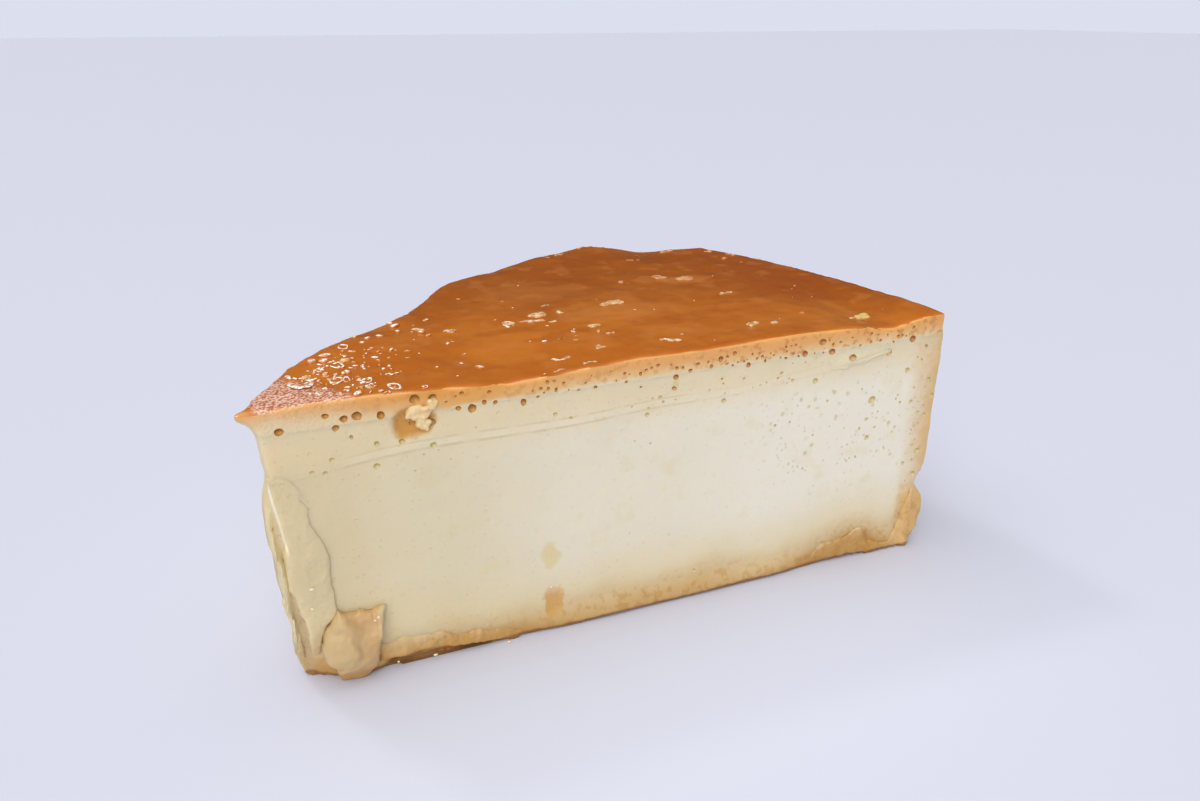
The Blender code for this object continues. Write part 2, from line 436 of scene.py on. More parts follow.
outline = {   # small corrections of the whole body
    "tipShift": ((0, 0.1), (4, 0.1), (5.7, 0.5), (7.4, 0.8), (9, 0.7), (10.6, 0.5), (15.3, 0.4),
                 (17, 0.15), (18.5, -0.1), (22.7, -0.25), (24, -0.1), (25.3, 0.3), (26.7, 0.6),
                 (28, 0.4), (31, 0.35), (32, 0.1), (34, 0)),   # z, move along x
    "topLumps": ((13, 16, 6, 0.3), (7, 12, 4, 0.2), (18, 25, 3, 0.3), (56, 51, 4.5, 0.35),
                 (62, 45.5, 3, -0.4), (69.5, 46.5, 4, 0.35), (86, 2, 6, 0.45),
                 (45, 47, 2.5, 0.2), (36, 43, 2, -0.2)),   # x, y, reach, height
}

flapBehind = {   # the body steps back left of the peeled strip; its edge is (z, x)
    "edge": ((2, 2.3), (5, 1.9), (9, 1.5), (12.5, 0.7), (19, 0.9), (24, 0.4), (27, 0)),
    "depth": 0.55,
}

hollows = {   # x, z, half width, half height, depth
    "crater": (15.4, 30.4, 2.4, 1.8, 1.0), "dimple": (30.4, 4.2, 1.0, 2.4, 0.15),
}

footFacts = {   # the torn foot of the front cut; the crevice's top is (x, z)
    "crevice": 1.2, "creviceTop": ((9, 1.7), (13.5, 1.6), (16.4, 1.4), (20.2, 1.1), (24, 0.4)),
    "stepOut": 0.6, "undercut": 0.05,
}


def bowl(x, z, across, up, halfAcross, halfUp, depth):
    inside = 1 - ((x - across) / halfAcross) ** 2 - ((z - up) / halfUp) ** 2
    return depth * np.sqrt(np.clip(inside, 0, 1))


def footRelief(x, z):
    ragged = 0.5 * raggedness(x, 1.7, 3) + 0.25 * raggedness(x, 0.6, 8)
    top = through(x, *footFacts["creviceTop"]) + 0.5 * ragged
    crevice = footFacts["crevice"] * ramp(z, top, top - 0.5) * ramp(x, 9.5, 11) * ramp(x, 25, 23)
    lip = 0.8 * ramp(z, 0.9, 0.2) * ramp(x, 10, 12) * ramp(x, 20, 17) * (0.7 + ragged)
    crust = 0.35 * ramp(x, 81.7, 82.5) * ramp(z, 9.4, 8.2)
    crust = crust + 0.25 * ramp(x, 75, 77) * ramp(z, 2.4 + 0.5 * ragged, 1.2)
    skirt = footFacts["stepOut"] * ramp(z, 3, 0.8) * ramp(x, 24, 34) * ramp(x, 70, 60)
    under = footFacts["undercut"] * ramp(z, 0.45 + 0.5 * ragged, 0) * ramp(x, 23, 26)
    return crevice - lip - crust - skirt + under


def frontRelief(x, z):
    # how far the front cut stands out, negative, or is hollow, positive
    toe = 2.1 * ramp(z, 7.5, 0) * ramp(x, 6, 0.5)
    hollow = 0.35 * bell(x, 9, 4) * bell(z, 15, 8)
    bowls = sum(bowl(x, z, *facts) for facts in hollows.values())
    sliver = 0.3 * bell(z, 29.4 + 0.12 * (x - 69), 0.5) * ramp(x, 68, 70) * ramp(x, 77, 75)
    edge = through(z, *flapBehind["edge"])
    behind = flapBehind["depth"] * ramp(x, edge, edge - 0.45) * ramp(z, 27, 22)
    return toe + hollow + bowls - sliver + behind + footRelief(x, z)


def fitOutline(whole):
    points = readPoints(whole)
    x, y, z = points.T.copy()
    points[:, 0] += through(z, *outline["tipShift"]) * ramp(x, 5, 1)
    for across, back, reach, height in outline["topLumps"]:
        points[:, 2] += height * bell(np.hypot(x - across, y - back), 0, reach) * ramp(z, 27, 33)
    writePoints(whole, points)


def shapeFront(whole):
    points, normals = readPoints(whole), readNormals(whole)
    facing = ramp(-normals[:, 1], 0.35, 0.75) * (points[:, 1] < 4.2)
    facing = facing * ramp(points[:, 0], -1.2, 0.2)
    points[:, 1] += facing * (frontRelief(points[:, 0], points[:, 2]) - points[:, 1])
    points[:, 2] = np.maximum(points[:, 2], 0)
    writePoints(whole, points)


def roughen(whole):
    points, normals = readPoints(whole), readNormals(whole)
    up = normals[:, 2]
    onTop = ramp(up, 0.5, 0.9)
    onFront = ramp(-normals[:, 1], 0.6, 0.9)
    coarse = lumps(points, 6.0, 3.1)
    middle = lumps(points, 2.1, 7.7)
    fine = lumps(points, 0.8, 1.3)
    tipZone = ramp(points[:, 0], 16, 6)
    top = sliceFacts["topUnevenness"] * (coarse + 0.5 * middle + 0.6 * tipZone * (middle + fine))
    cut = sliceFacts["cutUnevenness"] * (coarse + 0.5 * middle + 0.2 * fine)
    wall = sliceFacts["wallUnevenness"] * (coarse + 0.5 * middle + 0.2 * fine)
    amount = onTop * top + (1 - onTop) * (onFront * cut + (1 - onFront) * wall)
    points += normals * (amount * (points[:, 2] > 0.25))[:, None]
    under = (up < -0.2) & (points[:, 0] < 2) & (points[:, 2] > 30)
    thinner = sliceFacts["lipThinner"] * ramp(points[:, 0], 0.5, -2)
    points[:, 2] += np.where(under, 0.5 * fine - 0.1 + thinner, 0)   # the lip's torn underside
    writePoints(whole, points)


def shapeWhole():
    custard = copyOfNode("custard", "whole_slice")
    caramel = copyOfNode("caramel_layer", "caramel_copy")
    points = readPoints(custard)
    points[:, 2] += np.where(readNormals(custard)[:, 2] > 0.4, sliceFacts["overlap"], 0)
    writePoints(custard, points)
    whole = joinPieces([custard, caramel], "whole_slice")
    applyModifier(whole, "REMESH", mode="VOXEL", voxel_size=sliceFacts["roughVoxel"] * mm)
    shapeFront(whole)
    fitOutline(whole)
    applyModifier(whole, "REMESH", mode="VOXEL", voxel_size=sliceFacts["fineVoxel"] * mm)
    roughen(whole)
    return whole


# Burst bubbles, scooped out of the cuts

pits = {
    "seed": 11,
    "front": (   # x, z, width
        (1.9, 31.6, 1.1), (6.5, 32.6, 0.9), (6.9, 33.2, 0.5), (8.3, 32.0, 0.9), (9.6, 32.1, 1.1),
        (12.0, 31.8, 1.1), (7.4, 31.1, 0.8), (8.8, 29.8, 0.5), (11.3, 28.6, 0.8),
        (6.6, 27.6, 0.6), (4.5, 26.5, 0.5), (5.8, 26.3, 0.6), (11.1, 26.0, 0.8),
        (17.2, 27.4, 0.8), (13.9, 28.5, 0.8), (15.6, 33.0, 1.2), (17.5, 32.9, 1.1),
        (17.3, 30.0, 0.9), (21.6, 31.0, 1.1), (23.0, 31.5, 0.7), (27.4, 30.8, 0.9),
        (31.1, 28.7, 0.6), (32.9, 28.0, 0.5), (42.4, 26.8, 0.7), (44.0, 28.8, 0.6),
        (46.0, 31.0, 0.8), (45.8, 29.6, 0.7), (51.8, 32.4, 0.9), (53.7, 32.9, 0.7),
        (55.6, 31.2, 0.8), (52.5, 27.0, 0.8), (63.6, 31.5, 1.0), (67.6, 31.2, 1.1),
        (70.7, 30.1, 1.2), (76.4, 29.9, 1.1), (66.1, 32.7, 1.1), (79.9, 31.3, 1.1),
        (79.8, 27.0, 0.9), (65.5, 27.6, 0.9), (74.7, 23.6, 1.2), (83.6, 20.0, 0.8),
        (83.3, 14.7, 1.0), (82.6, 16.5, 0.5), (74.5, 18.2, 0.8), (74.1, 21.0, 0.6),
        (60.1, 22.4, 0.5), (49.5, 3.6, 0.7), (69.0, 3.2, 0.8),
    ),
    "zones": (   # how many, x from, x to, z from, z to, width from, width to
        (130, 18, 80, 31.2, 32.9, 0.3, 0.65), (22, 40, 64, 27.5, 30.6, 0.25, 0.5),
        (16, 62, 83.5, 15.5, 25.5, 0.25, 0.5), (18, 81.0, 84.5, 10, 30, 0.3, 0.9),
        (4, 64, 80, 11.5, 15.5, 0.2, 0.4), (4, 24, 60, 8, 24, 0.2, 0.35),
        (6, 5, 24, 24, 30, 0.2, 0.4),
    ),
    "arcs": (   # round the rim and the rear: how many, middle, angle from, angle to
        (46, (34, 14), 80, 165), (40, (0, 0), -2, 42),
    ),
    "arcHeights": ((3, 30), (25, 32.5)), "arcWidth": (0.3, 1.1), "farOut": 120, "farBefore": 20,
    "stretch": ((0.8, 1.1), (0.95, 1.2), (0.75, 1.05)), "raised": 0.2, "apart": 0.12,
    "uneven": 0.09, "unevenSpacing": 0.45,
    # floor and roof, the roof with painted shade: in the caramel's band, there at the right, and in
    # the custard
    "brown": (shown(202, 146, 68), shown(146, 90, 24)),
    "red": (shown(200, 138, 78), shown(150, 84, 34)),
    "green": (shown(214, 198, 148), shown(188, 166, 100)),
}


def pitStarts():
    # each pit is found by a straight line towards the slice: (start, direction, width)
    pick = random.Random(pits["seed"])
    inward = Vector((0, 1, 0))
    wanted = [(place(x, -pits["farBefore"], z), inward, width) for x, z, width in pits["front"]]
    for count, left, right, low, high, small, large in pits["zones"]:
        for one in range(count):
            start = place(pick.uniform(left, right), -pits["farBefore"], pick.uniform(low, high))
            wanted.append((start, inward, pick.uniform(small, large)))
    for count, middle, low, high in pits["arcs"]:
        for one in range(count):
            angle = math.radians(pick.uniform(low, high))
            outward = Vector((math.cos(angle), math.sin(angle), 0))
            rise = pick.choice([pick.uniform(*span) for span in pits["arcHeights"]])
            start = place(*middle, rise) + outward * (pits["farOut"] * mm)
            wanted.append((start, -outward, pick.uniform(*pits["arcWidth"])))
    return pick, wanted


def pitSpots(whole):
    pick, wanted = pitStarts()
    spots, kept = [], []
    for start, direction, width in wanted:
        spot = touch(whole, start, direction)
        if spot is None:
            continue
        if any((spot - other).length < ((width + otherWidth) / 2 + pits["apart"]) * mm
               for other, otherWidth in kept):
            continue
        kept.append((spot, width))
        size = [width * pick.uniform(*span) * mm for span in pits["stretch"]]
        spots.append((spot - direction * width * pits["raised"] * mm, size, 0, 0))
    return spots


def scoopPits(whole, pitMaterial):
    scoops = repeated(ball(), pitSpots(whole), "pit_scoops")
    points = readPoints(scoops)
    sideways = [pits["uneven"] * lumps(points, pits["unevenSpacing"], seed)
                for seed in (1.7, 5.2, 8.4)]
    writePoints(scoops, points + np.stack(sideways, axis=1))
    for piece in (whole, scoops):
        piece.data.materials.clear()
        piece.data.materials.append(pitMaterial)
        piece.data.materials.append(pitMaterial)
    scoops.data.polygons.foreach_set("material_index", [1] * len(scoops.data.polygons))
    applyModifier(whole, "BOOLEAN", object=scoops, operation="DIFFERENCE", solver="MANIFOLD")
    bpy.data.objects.remove(scoops)


def partAtSeam(whole):
    top = ownCopy(whole)
    seam = place(0, 0, sliceFacts["seamHeight"])
    for piece, above in ((whole, True), (top, False)):
        editWhole(piece, bpy.ops.mesh.bisect, plane_co=seam, plane_no=(0, 0, 1), use_fill=True,
                  clear_outer=above, clear_inner=not above, threshold=1e-7)
    whole.name = whole.data.name = "custard_body"
    top.name = top.data.name = "caramel_top"
    return whole, top


# Finishes of the slice

custardFacts = {   # how deep light goes, in metres, less in thin skin; how high brown climbs
    "baked_custard": (0.003, 0.5), "torn_custard": (0.0005, 1.8),
}

cream = tintsOf(
    left=(219, 207, 175), middle=(227, 218, 196), right=(231, 224, 206),
    tipYellow=(216, 198, 157), underBand=(226, 206, 166), foot=(206, 174, 120),
    # the foot line's dark brown is partly painted contact shadow
    footDeep=(188, 142, 72), footLine=(134, 80, 34), halo=(222, 204, 160), crust=(214, 172, 108),
    crustDark=(184, 130, 60), edgeTan=(214, 184, 138), glisten=(246, 234, 204),
    # the glisten tint is a painted highlight
    behindFlap=(200, 172, 126), bandLeft=(219, 148, 50), band=(222, 160, 88),
    bandLow=(224, 192, 140), bandDark=(198, 128, 58), stain=(218, 200, 146),
    dimple=(208, 162, 88), fleck=(186, 168, 112), crater=(208, 150, 66), score=(204, 186, 142),
    # the score tints are a painted highlight and painted shade along the knife's drag strip
    scorePale=(230, 218, 192), rearYellow=(214, 190, 140),
)

cutSpots = {   # x, z, half width, half height
    "hemTear": (76.3, 2.4, 0.6, 1.5), "footTear": (71.6, 1.7, 0.5, 1.0),
    "stain": (30.1, 10.6, 1.15, 1.9), "streak": (46, 30.6, 0.45, 1.5),
    "dimple": (30.4, 4.0, 1.15, 2.2), "crater": (15.3, 30.4, 2.4, 1.9),
}


def cutColour(f, climb):
    # the cut and baked sides, with the caramel's stain creeping down from the top; climb is
    # how much higher the foot's brown reaches at the left, in millimetres
    drift = f.clouds(9, 3)
    wander = 6 * (drift - 0.5)
    low = f.z + 4 * (f.clouds(7, 3, shift=2) - 0.5) - climb * f.fall(f.x, 16, 30)
    low = low - 2.2 * f.rise(f.x, 64, 74) * (1 - 0.7 * f.rise(f.x, 76, 80))
    paler = 1 - 0.4 * f.between(f.x, 28, 36, 56, 66)
    cooked = f.rise(f.clouds(8, 3, stretch=(1, 1, 1.6), shift=17), 0.42, 0.62)
    baked = f.fall(low, 1.0, 4.5) * (0.5 + 0.5 * f.rise(f.x, 24, 36))
    baked = baked + 0.5 * f.rise(f.x, 80, 84)
    mottled = f.rise(f.clouds(1.0, 4, shift=12), 0.5, 0.62)
    colour = f.layered(
        cream["left"], cream,
        ("middle", f.rise(f.x + wander, 16, 36)),
        ("right", f.rise(f.x + wander, 40, 62)),
        ("tipYellow", f.fall(f.x + wander, 1, 17)),
        ("underBand", 0.8 * f.rise(f.z + 0.5 * wander, 24.5, 30.5)),
        ("rearYellow", 0.55 * f.rise(f.y, 4, 10)),
        ("stain", 0.25 * f.rise(f.clouds(3.2, 3, shift=5), 0.56, 0.74)),
        ("halo", 0.75 * f.fall(low, 3.0, 12.0)),
        ("foot", 0.8 * f.fall(low, 1.4, 6.0)),
        ("footDeep", 0.9 * paler * f.fall(low, 0.2, 2.8)),
        ("foot", 0.5 * cooked * f.rise(f.y, 3, 8)),
        ("crustDark", 0.5 * baked * mottled))
    return spotColours(f, colour)


def scoreHeight(f):
    # the knife's double score runs along the cut, a little uphill to the rim
    return (26.0 + 1.35 * f.rise(f.x, 0, 16) - 0.15 * f.rise(f.x, 20, 32)
            + 0.55 * f.rise(f.x, 31, 46) + 1.2 * f.rise(f.x, 53, 72) + 1.6 * f.rise(f.x, 71, 77))


def spotColours(f, colour):
    ragged = f.clouds(1.6, 3, shift=9)
    wobble = 1.6 * (ragged - 0.5)
    reach = (f.x ** 2 + f.y ** 2) ** 0.5 + wobble + 3 * (f.clouds(4, 3, shift=14) - 0.5)
    rim = f.rise(reach, 83.0, 84.8)
    blotch = f.rise(f.clouds(5, 4, shift=21), 0.46, 0.62) * f.rise(f.y, 1, 4)
    lobe = f.rise(f.x + 1.5 * ragged, 81.0, 83.2) * f.fall(f.z + ragged, 8, 11.5)
    behind = f.rise(f.y, 0.35, 0.9) * f.fall(f.x, 1.6, 2.4) * f.fall(f.z, 20, 26)
    # painted highlight: a thin pale line along the peeled flap's left edge, standing for its wet
    # shine
    fromEdge = f.x - 0.125 * (26.2 - f.z)
    glisten = f.between(fromEdge, -0.2, -0.05, 0.08, 0.2) * f.between(f.z, 17.4, 18.6, 25.4, 26.6)
    torn = f.patch(*cutSpots["hemTear"], f.x + 1.5 * wobble, f.z + wobble)
    torn = torn + f.patch(*cutSpots["footTear"], f.x + wobble, f.z + wobble)
    stain = f.patch(*cutSpots["stain"], f.x + wobble, f.z + wobble)
    streak = f.patch(*cutSpots["streak"], f.x + 0.5 * wobble)
    dimple = f.patch(*cutSpots["dimple"], f.x + 2.4 * wobble + 0.15 * f.z - 0.6, f.z + 2 * wobble)
    dimple = dimple * (1 - 0.5 * f.rise(f.z, 4.4, 6))
    crater = f.patch(*cutSpots["crater"], f.x + 0.8 * wobble, f.z + 0.8 * wobble)
    zones = f.rise(f.x, 52, 66) * f.rise(f.z, 10, 15) * f.fall(f.z, 25, 28)
    flecks = f.dots(1.7, 0.22) * (0.12 + 0.8 * zones) + 0.7 * f.dots(0.9, 0.24, 4) * zones
    # painted light on the knife's drag strip: a pale highlight on its raised middle, painted shade
    # in the thin lines at its sides
    height = f.z - scoreHeight(f)
    seen = f.rise(f.x, 6, 12) * (1 - 0.75 * f.rise(f.x, 40, 54)) * f.fall(f.x, 74, 78)
    strip = f.front * seen * f.rise(f.clouds(4, 3), 0.36, 0.56)
    darkLine = f.between(height, -0.45, -0.25, -0.15, 0.0) + f.between(height, 0.6, 0.75, 0.85, 1.0)
    colour = f.layered(
        colour, cream,
        ("edgeTan", 0.75 * f.rise(reach, 79.5, 84)),
        ("crust", 0.7 * rim),
        ("crustDark", 0.35 * rim * blotch),
        ("crust", 0.9 * lobe),
        ("crustDark", 0.5 * lobe * f.rise(f.clouds(1.1, 4, shift=13), 0.48, 0.64)),
        ("behindFlap", 0.8 * behind),
        ("glisten", 0.9 * glisten * f.fall(f.y, 0.3, 0.8)),
        # painted shade: the tears at the right foot are darkened with the crust's dark brown, as
        # the shade in their notches
        ("crustDark", 0.65 * f.front * torn),
        ("stain", 0.75 * f.front * stain),
        ("stain", 0.9 * f.front * streak),
        ("dimple", 0.9 * f.front * dimple),
        ("crater", 0.95 * f.front * crater),
        ("fleck", 0.55 * flecks * f.rise(f.clouds(4, 2, shift=15), 0.4, 0.55)),
        ("scorePale", 0.5 * strip * f.between(height, -0.1, 0.15, 0.5, 0.8)),
        ("score", 0.5 * strip * darkLine))
    return bandColours(f, colour, ragged)


def bandColours(f, colour, ragged):
    wave = 0.9 * (f.clouds(5, 3, stretch=(1, 1, 0.3), shift=6) - 0.5) + 0.8 * (ragged - 0.5)
    onLeft = f.fall(f.x, 12, 22)
    edge = f.z + wave
    crisp = f.rise(edge, 31.2, 31.9)
    soft = f.rise(edge - 0.9 * f.fall(f.x, 5, 12), 30.2, 33.7)
    share = crisp * (1 - onLeft) + soft * onLeft
    spotted = f.rise(f.clouds(0.8, 3, shift=3), 0.5, 0.66)
    band = f.layered(
        cream["bandLow"], cream,
        ("band", f.rise(edge, 31.4, 33.2)),
        ("bandLeft", 0.75 * f.between(f.x, 6, 17, 20, 36)),
        ("bandDark", (0.5 + 0.3 * f.rise(f.x, 40, 60)) * spotted))
    colour = f.blend(colour, band, 0.95 * share)
    # the dark line at the very foot is the bottom's brown crust and painted contact shadow where
    # the slice stands on the floor
    line = f.fall(f.z + 0.6 * (ragged - 0.5), 0.4, 0.8)
    return f.blend(colour, cream["footLine"], 0.8 * line)


def cutBump(f):
    drag = f.clouds(1.1, 2, stretch=(0.25, 0.25, 1), shift=1)
    height = f.z - scoreHeight(f)
    strip = f.between(height, -0.35, 0.0, 0.5, 0.85) * (1 - 0.7 * f.rise(f.x, 40, 54))
    grain = 0.5 * f.clouds(0.5, 3) + 0.6 * f.clouds(1.8, 2, shift=8) + 0.35 * drag
    holes = f.dots(1.6, 0.16) + f.dots(0.9, 0.15, 4)
    return f.bump(grain + 0.5 * f.front * strip - 0.5 * holes, 0.09)


def custardFinish(name):
    depth, climb = custardFacts[name]
    f = Finish(name)
    roughness = 0.38 + 0.2 * f.clouds(2.5, 2, shift=3)
    return f.wear(colour=cutColour(f, climb), roughness=roughness, normal=cutBump(f), gloss=0.45,
                  under=(0.4, depth, custardSpread))


def pitFinish():
    # painted shade: a pit's roof, facing down, is darker than its floor
    f = Finish("burst_bubble")
    roof = f.fall(f.up, -0.5, 0.5)
    brown, red, green = (f.blend(*pits[tint], roof) for tint in ("brown", "red", "green"))
    brown = f.blend(brown, red, f.rise(f.x, 24, 50))
    colour = f.blend(green, brown, f.rise(f.z + 5 * (f.clouds(4) - 0.5), 28.0, 31.0))
    return f.wear(colour=colour, roughness=0.35, under=(0.15, 0.001, caramelSpread))


# the edge tint is a painted highlight for the top's rounded front edge
glaze = tintsOf(
    light=(193, 112, 38), deep=(184, 101, 30), dark=(152, 77, 20), red=(160, 80, 22),
    # the grain's pale tint paints sparkle highlights
    pale=(198, 122, 58), grain=(184, 106, 68), grainPale=(240, 204, 184), edge=(232, 172, 100),
    lip=(206, 138, 62),
)

smudges = (   # tint, x, y, half length, half width, share
    ("dark", 52, 43, 6, 3.5, 0.7), ("dark", 63, 40, 5, 3, 0.6), ("red", 75, 23, 7, 7, 0.8),
    ("dark", 80, 13, 5, 10, 0.55), ("pale", 61, 28, 4, 2, 0.5), ("pale", 56, 30, 2, 2, 0.4),
    ("red", 36, 11.4, 5, 1.5, 0.45), ("red", 30, 15.5, 4, 1.4, 0.35),
    ("red", 15, 19, 3, 1.4, 0.4), ("pale", 38, 30, 8, 5, 0.3), ("pale", 46, 17, 9, 3, 0.4),
    ("dark", 44, 33.5, 5, 2, 0.5), ("red", 55, 12, 6, 1.6, 0.3), ("dark", 66, 18, 6, 2, 0.4),
)


def caramelFinish():
    f = Finish("caramel")
    back = f.rise(f.y + 14 * (f.clouds(12, 2, shift=4) - 0.5), 13, 34)
    far = f.rise(f.x, 56, 74) * f.rise(f.y + 8 * (f.clouds(6, 2, shift=4) - 0.5), 6, 18)
    colour = f.layered(
        glaze["deep"], glaze,
        ("light", f.rise(f.clouds(8, 3), 0.38, 0.62)),
        ("dark", 0.7 * back),
        ("red", 0.85 * far))
    drift = 3.0 * (f.clouds(3, 3, shift=11) - 0.5)
    for tint, *oval, share in smudges:
        smudge = f.patch(*oval, f.x + 1.5 * drift, f.y - drift)
        colour = f.blend(colour, glaze[tint], share * smudge)
    streaks = f.rise(f.clouds(2.6, 3, stretch=(0.7, 1, 1), shift=7), 0.56, 0.74)
    mottled = f.rise(f.clouds(3.5, 3, shift=19), 0.52, 0.68)
    colour = f.layered(colour, glaze, ("red", 0.35 * streaks), ("pale", 0.35 * mottled))
    reach = f.x + 0.9 * f.y + 3.4 * (f.clouds(2.0, 3, shift=2) - 0.5)
    grainZone = f.fall(reach, 9.0, 11.5) * f.rise(f.x + 0.3 * f.y, -0.6, 0.8)
    # the grainy tip: brown grain with pale specks, which are painted sparkle highlights
    grain = f.clouds(0.3, 2, shift=1)
    sugar = f.blend(glaze["grain"], glaze["grainPale"], f.rise(grain, 0.44, 0.56))
    colour = f.blend(colour, sugar, 0.85 * grainZone)
    lip = f.fall(f.x + 1.6 * (f.clouds(2.0) - 0.5), -1.3, -0.2)
    colour = f.blend(colour, glaze["lip"], lip)
    onTop = f.rise(f.up, 0.5, 0.7)
    # painted highlight: a bright line along the top's rounded front edge, where it turns towards
    # the light
    rim = f.between(f.up, 0.5, 0.62, 0.84, 0.94) * f.fall(f.y, 0.7, 1.3) * f.rise(f.x, 0, 3)
    cut = cutColour(f, custardFacts["baked_custard"][1])   # its sides match the custard's
    colour = f.blend(cut, colour, onTop)
    colour = f.blend(colour, glaze["edge"], 0.8 * rim)
    height = 0.25 * f.clouds(3.0, 2, shift=5) + 0.12 * f.clouds(1.0, 2) + 0.6 * grainZone * grain
    roughness = 0.42 - onTop * (0.28 - 0.12 * grainZone)
    return f.wear(colour=colour, roughness=roughness, normal=f.bump(height, 0.22), gloss=0.42,
                  under=(0.06, 0.0015, caramelSpread))


# Torn skin on the front cut. Edges are (z, x) on upright pieces and (x, z) on the others, and
# proud, how far the skin stands out, goes along them

tornDepth = 0.5   # how far torn skin reaches into the body

tornSkin = {
    "peeled_flap": {
        "upright": True, "run": (3.6, 26.6), "cuts": 60, "ragged": 0.15, "seed": 2.0,
        "first": ((3.6, 1.9), (4.7, 1.9), (7.2, 1.8), (9.5, 1.5), (12.1, 1.0), (13.4, 0.5),
                  (16, 0.5), (17.8, 0.45), (19, 0.9), (21.8, 0.6), (23.8, 0.4), (26.6, 0.0)),
        "second": ((3.6, 2.7), (5.5, 3.2), (7.3, 3.6), (8, 4.1), (9.1, 5.2), (11, 5.1), (13, 4.95),
                   (15.7, 5.1), (17.8, 4.8), (19.2, 4.3), (20.6, 3.7), (21.9, 3.6), (23.3, 3.3),
                   (23.6, 2.9), (24.4, 3.3), (25.3, 2.8), (26.6, 1.6)),
        "proud": ((3.6, 0.6), (8, 0.95), (14, 0.95), (19, 0.7), (22, 0.35), (24, 0.12),
                  (26.6, 0.0)),
        "tilt": -0.55, "voxel": 0.17,
    },
    "side_strip": {
        "upright": True, "run": (2.6, 15.0), "cuts": 40, "ragged": 0.14, "seed": 5.0,
        "first": ((2.6, 0.9), (3.9, 0.5), (8.1, 0.25), (11.3, -0.3), (13, 0.0), (15, 0.25)),
        "second": ((2.6, 1.3), (3.9, 1.2), (8.1, 0.85), (11.3, 0.45), (15, 0.45)),
        "proud": ((2.6, 0.25), (8, 0.4), (13, 0.45), (15, 0.1)),
        "tilt": 0.0, "voxel": 0.16,
    },
    "torn_hem": {
        "upright": False, "run": (9.0, 26.6), "cuts": 60, "ragged": 0.34, "seed": 8.0,
        "first": ((9, 1.1), (11, 1.25), (13.5, 1.55), (15.5, 1.75), (16.6, 1.35), (18.5, 0.8),
                  (20.2, 0.75), (23, 0.3), (24.1, 0.05), (26.6, 0.15)),
        "second": ((9, 3.6), (12.2, 3.7), (16.1, 3.6), (18.5, 2.6), (21.6, 2.0), (24, 1.8),
                   (26.6, 0.9)),
        "proud": ((9, 0.3), (12, 0.5), (17, 0.6), (22, 0.6), (25, 0.5), (26.6, 0.2)),
        "tilt": -0.85, "voxel": 0.16, "rough": 2.0,
    },
    "hem_tatter": {
        "upright": False, "run": (15.2, 22.4), "cuts": 40, "ragged": 0.24, "seed": 3.0,
        "first": ((15.2, 0.2), (17, 0.25), (19.5, 0.5), (22.4, 0.5)),
        "second": ((15.2, 0.55), (17.5, 1.25), (19.5, 1.35), (22.4, 0.9)),
        "proud": ((15.2, 0.3), (18, 0.55), (21, 0.5), (22.4, 0.2)),
        "tilt": -0.4, "voxel": 0.16, "rough": 2.2,
    },
    "peeled_sliver": {
        "upright": False, "run": (67.5, 77.0), "cuts": 40, "ragged": 0.14, "seed": 1.0,
        "first": ((67.5, 28.5), (70, 28.6), (73, 29.2), (77, 30.0)),
        "second": ((67.5, 28.7), (69, 29.0), (71.5, 29.6), (73, 29.7), (75.5, 30.5), (77, 30.2)),
        "proud": ((67.5, 0.0), (70, 0.12), (74, 0.16), (77, 0.0)),
        "tilt": -0.6, "voxel": 0.15,
    },
    "right_hem": {
        "upright": False, "run": (67.5, 83.4), "cuts": 60, "ragged": 0.28, "seed": 6.0,
        "first": ((67.5, 0.8), (70, 0.8), (74, 0.5), (76.4, 0.1), (83.4, 0.1)),
        "second": ((67.5, 1.6), (69, 3.1), (72, 3.3), (75.4, 4.3), (76.6, 2.2), (78.4, 1.4),
                   (80.3, 1.0), (81.4, 3.4), (82.3, 7.4), (83.4, 9.6)),
        "proud": ((67.5, 0.1), (71, 0.3), (75, 0.4), (79, 0.35), (81.5, 0.3), (83.4, 0.3)),
        "tilt": -0.3, "voxel": 0.18, "rough": 1.6,
    },
}


def tornEdge(along, stops, ragged, seeds, spacings):
    # a line through given stops, with coarse and fine tatters
    coarse, fine = (raggedness(along, *pair) for pair in zip(spacings, seeds))
    return through(along, *stops) + ragged * (coarse + 0.6 * fine)


def addTorn(name):
    facts = tornSkin[name]
    piece, (side, back, share) = fineBlock(facts["cuts"])
    start, end = facts["run"]
    seed, ragged, tilt = facts["seed"], facts["ragged"], facts["tilt"]
    along = start + (end - start) * (share + 1) / 2
    first = tornEdge(along, facts["first"], ragged, (seed, seed + 9), (1.1, 0.45))
    second = tornEdge(along, facts["second"], ragged, (seed + 4, seed + 7), (1.3, 0.5))
    across = first + (second - first) * (side + 1) / 2
    x, z = (across, along) if facts["upright"] else (along, across)
    rounded = (1 - np.abs(side) ** 6) ** 0.5 * (1 - np.abs(share) ** 20) ** 0.5
    slope = 1 - 0.5 * abs(tilt) * (1 - side * np.sign(tilt)) if tilt else 1
    waves = 1 + 0.3 * raggedness(along, 2.4, seed + 2)
    proud = through(along, *facts["proud"]) * (0.4 + 0.6 * rounded) * slope * waves
    y = frontRelief(x, z) + tornDepth - (proud + tornDepth) * (1 - back) / 2
    writePoints(piece, np.stack([x, y, z], axis=1))
    rough = facts.get("rough", 1)
    melt(piece, facts["voxel"], (0.08 * rough, 1.3, 2.2), (0.05 * rough, 0.5, 4.4))
    piece.name = piece.data.name = name
    return piece


# The chunk that broke off and leans on the foot of the cut; edges are (x, z) or (z, x)

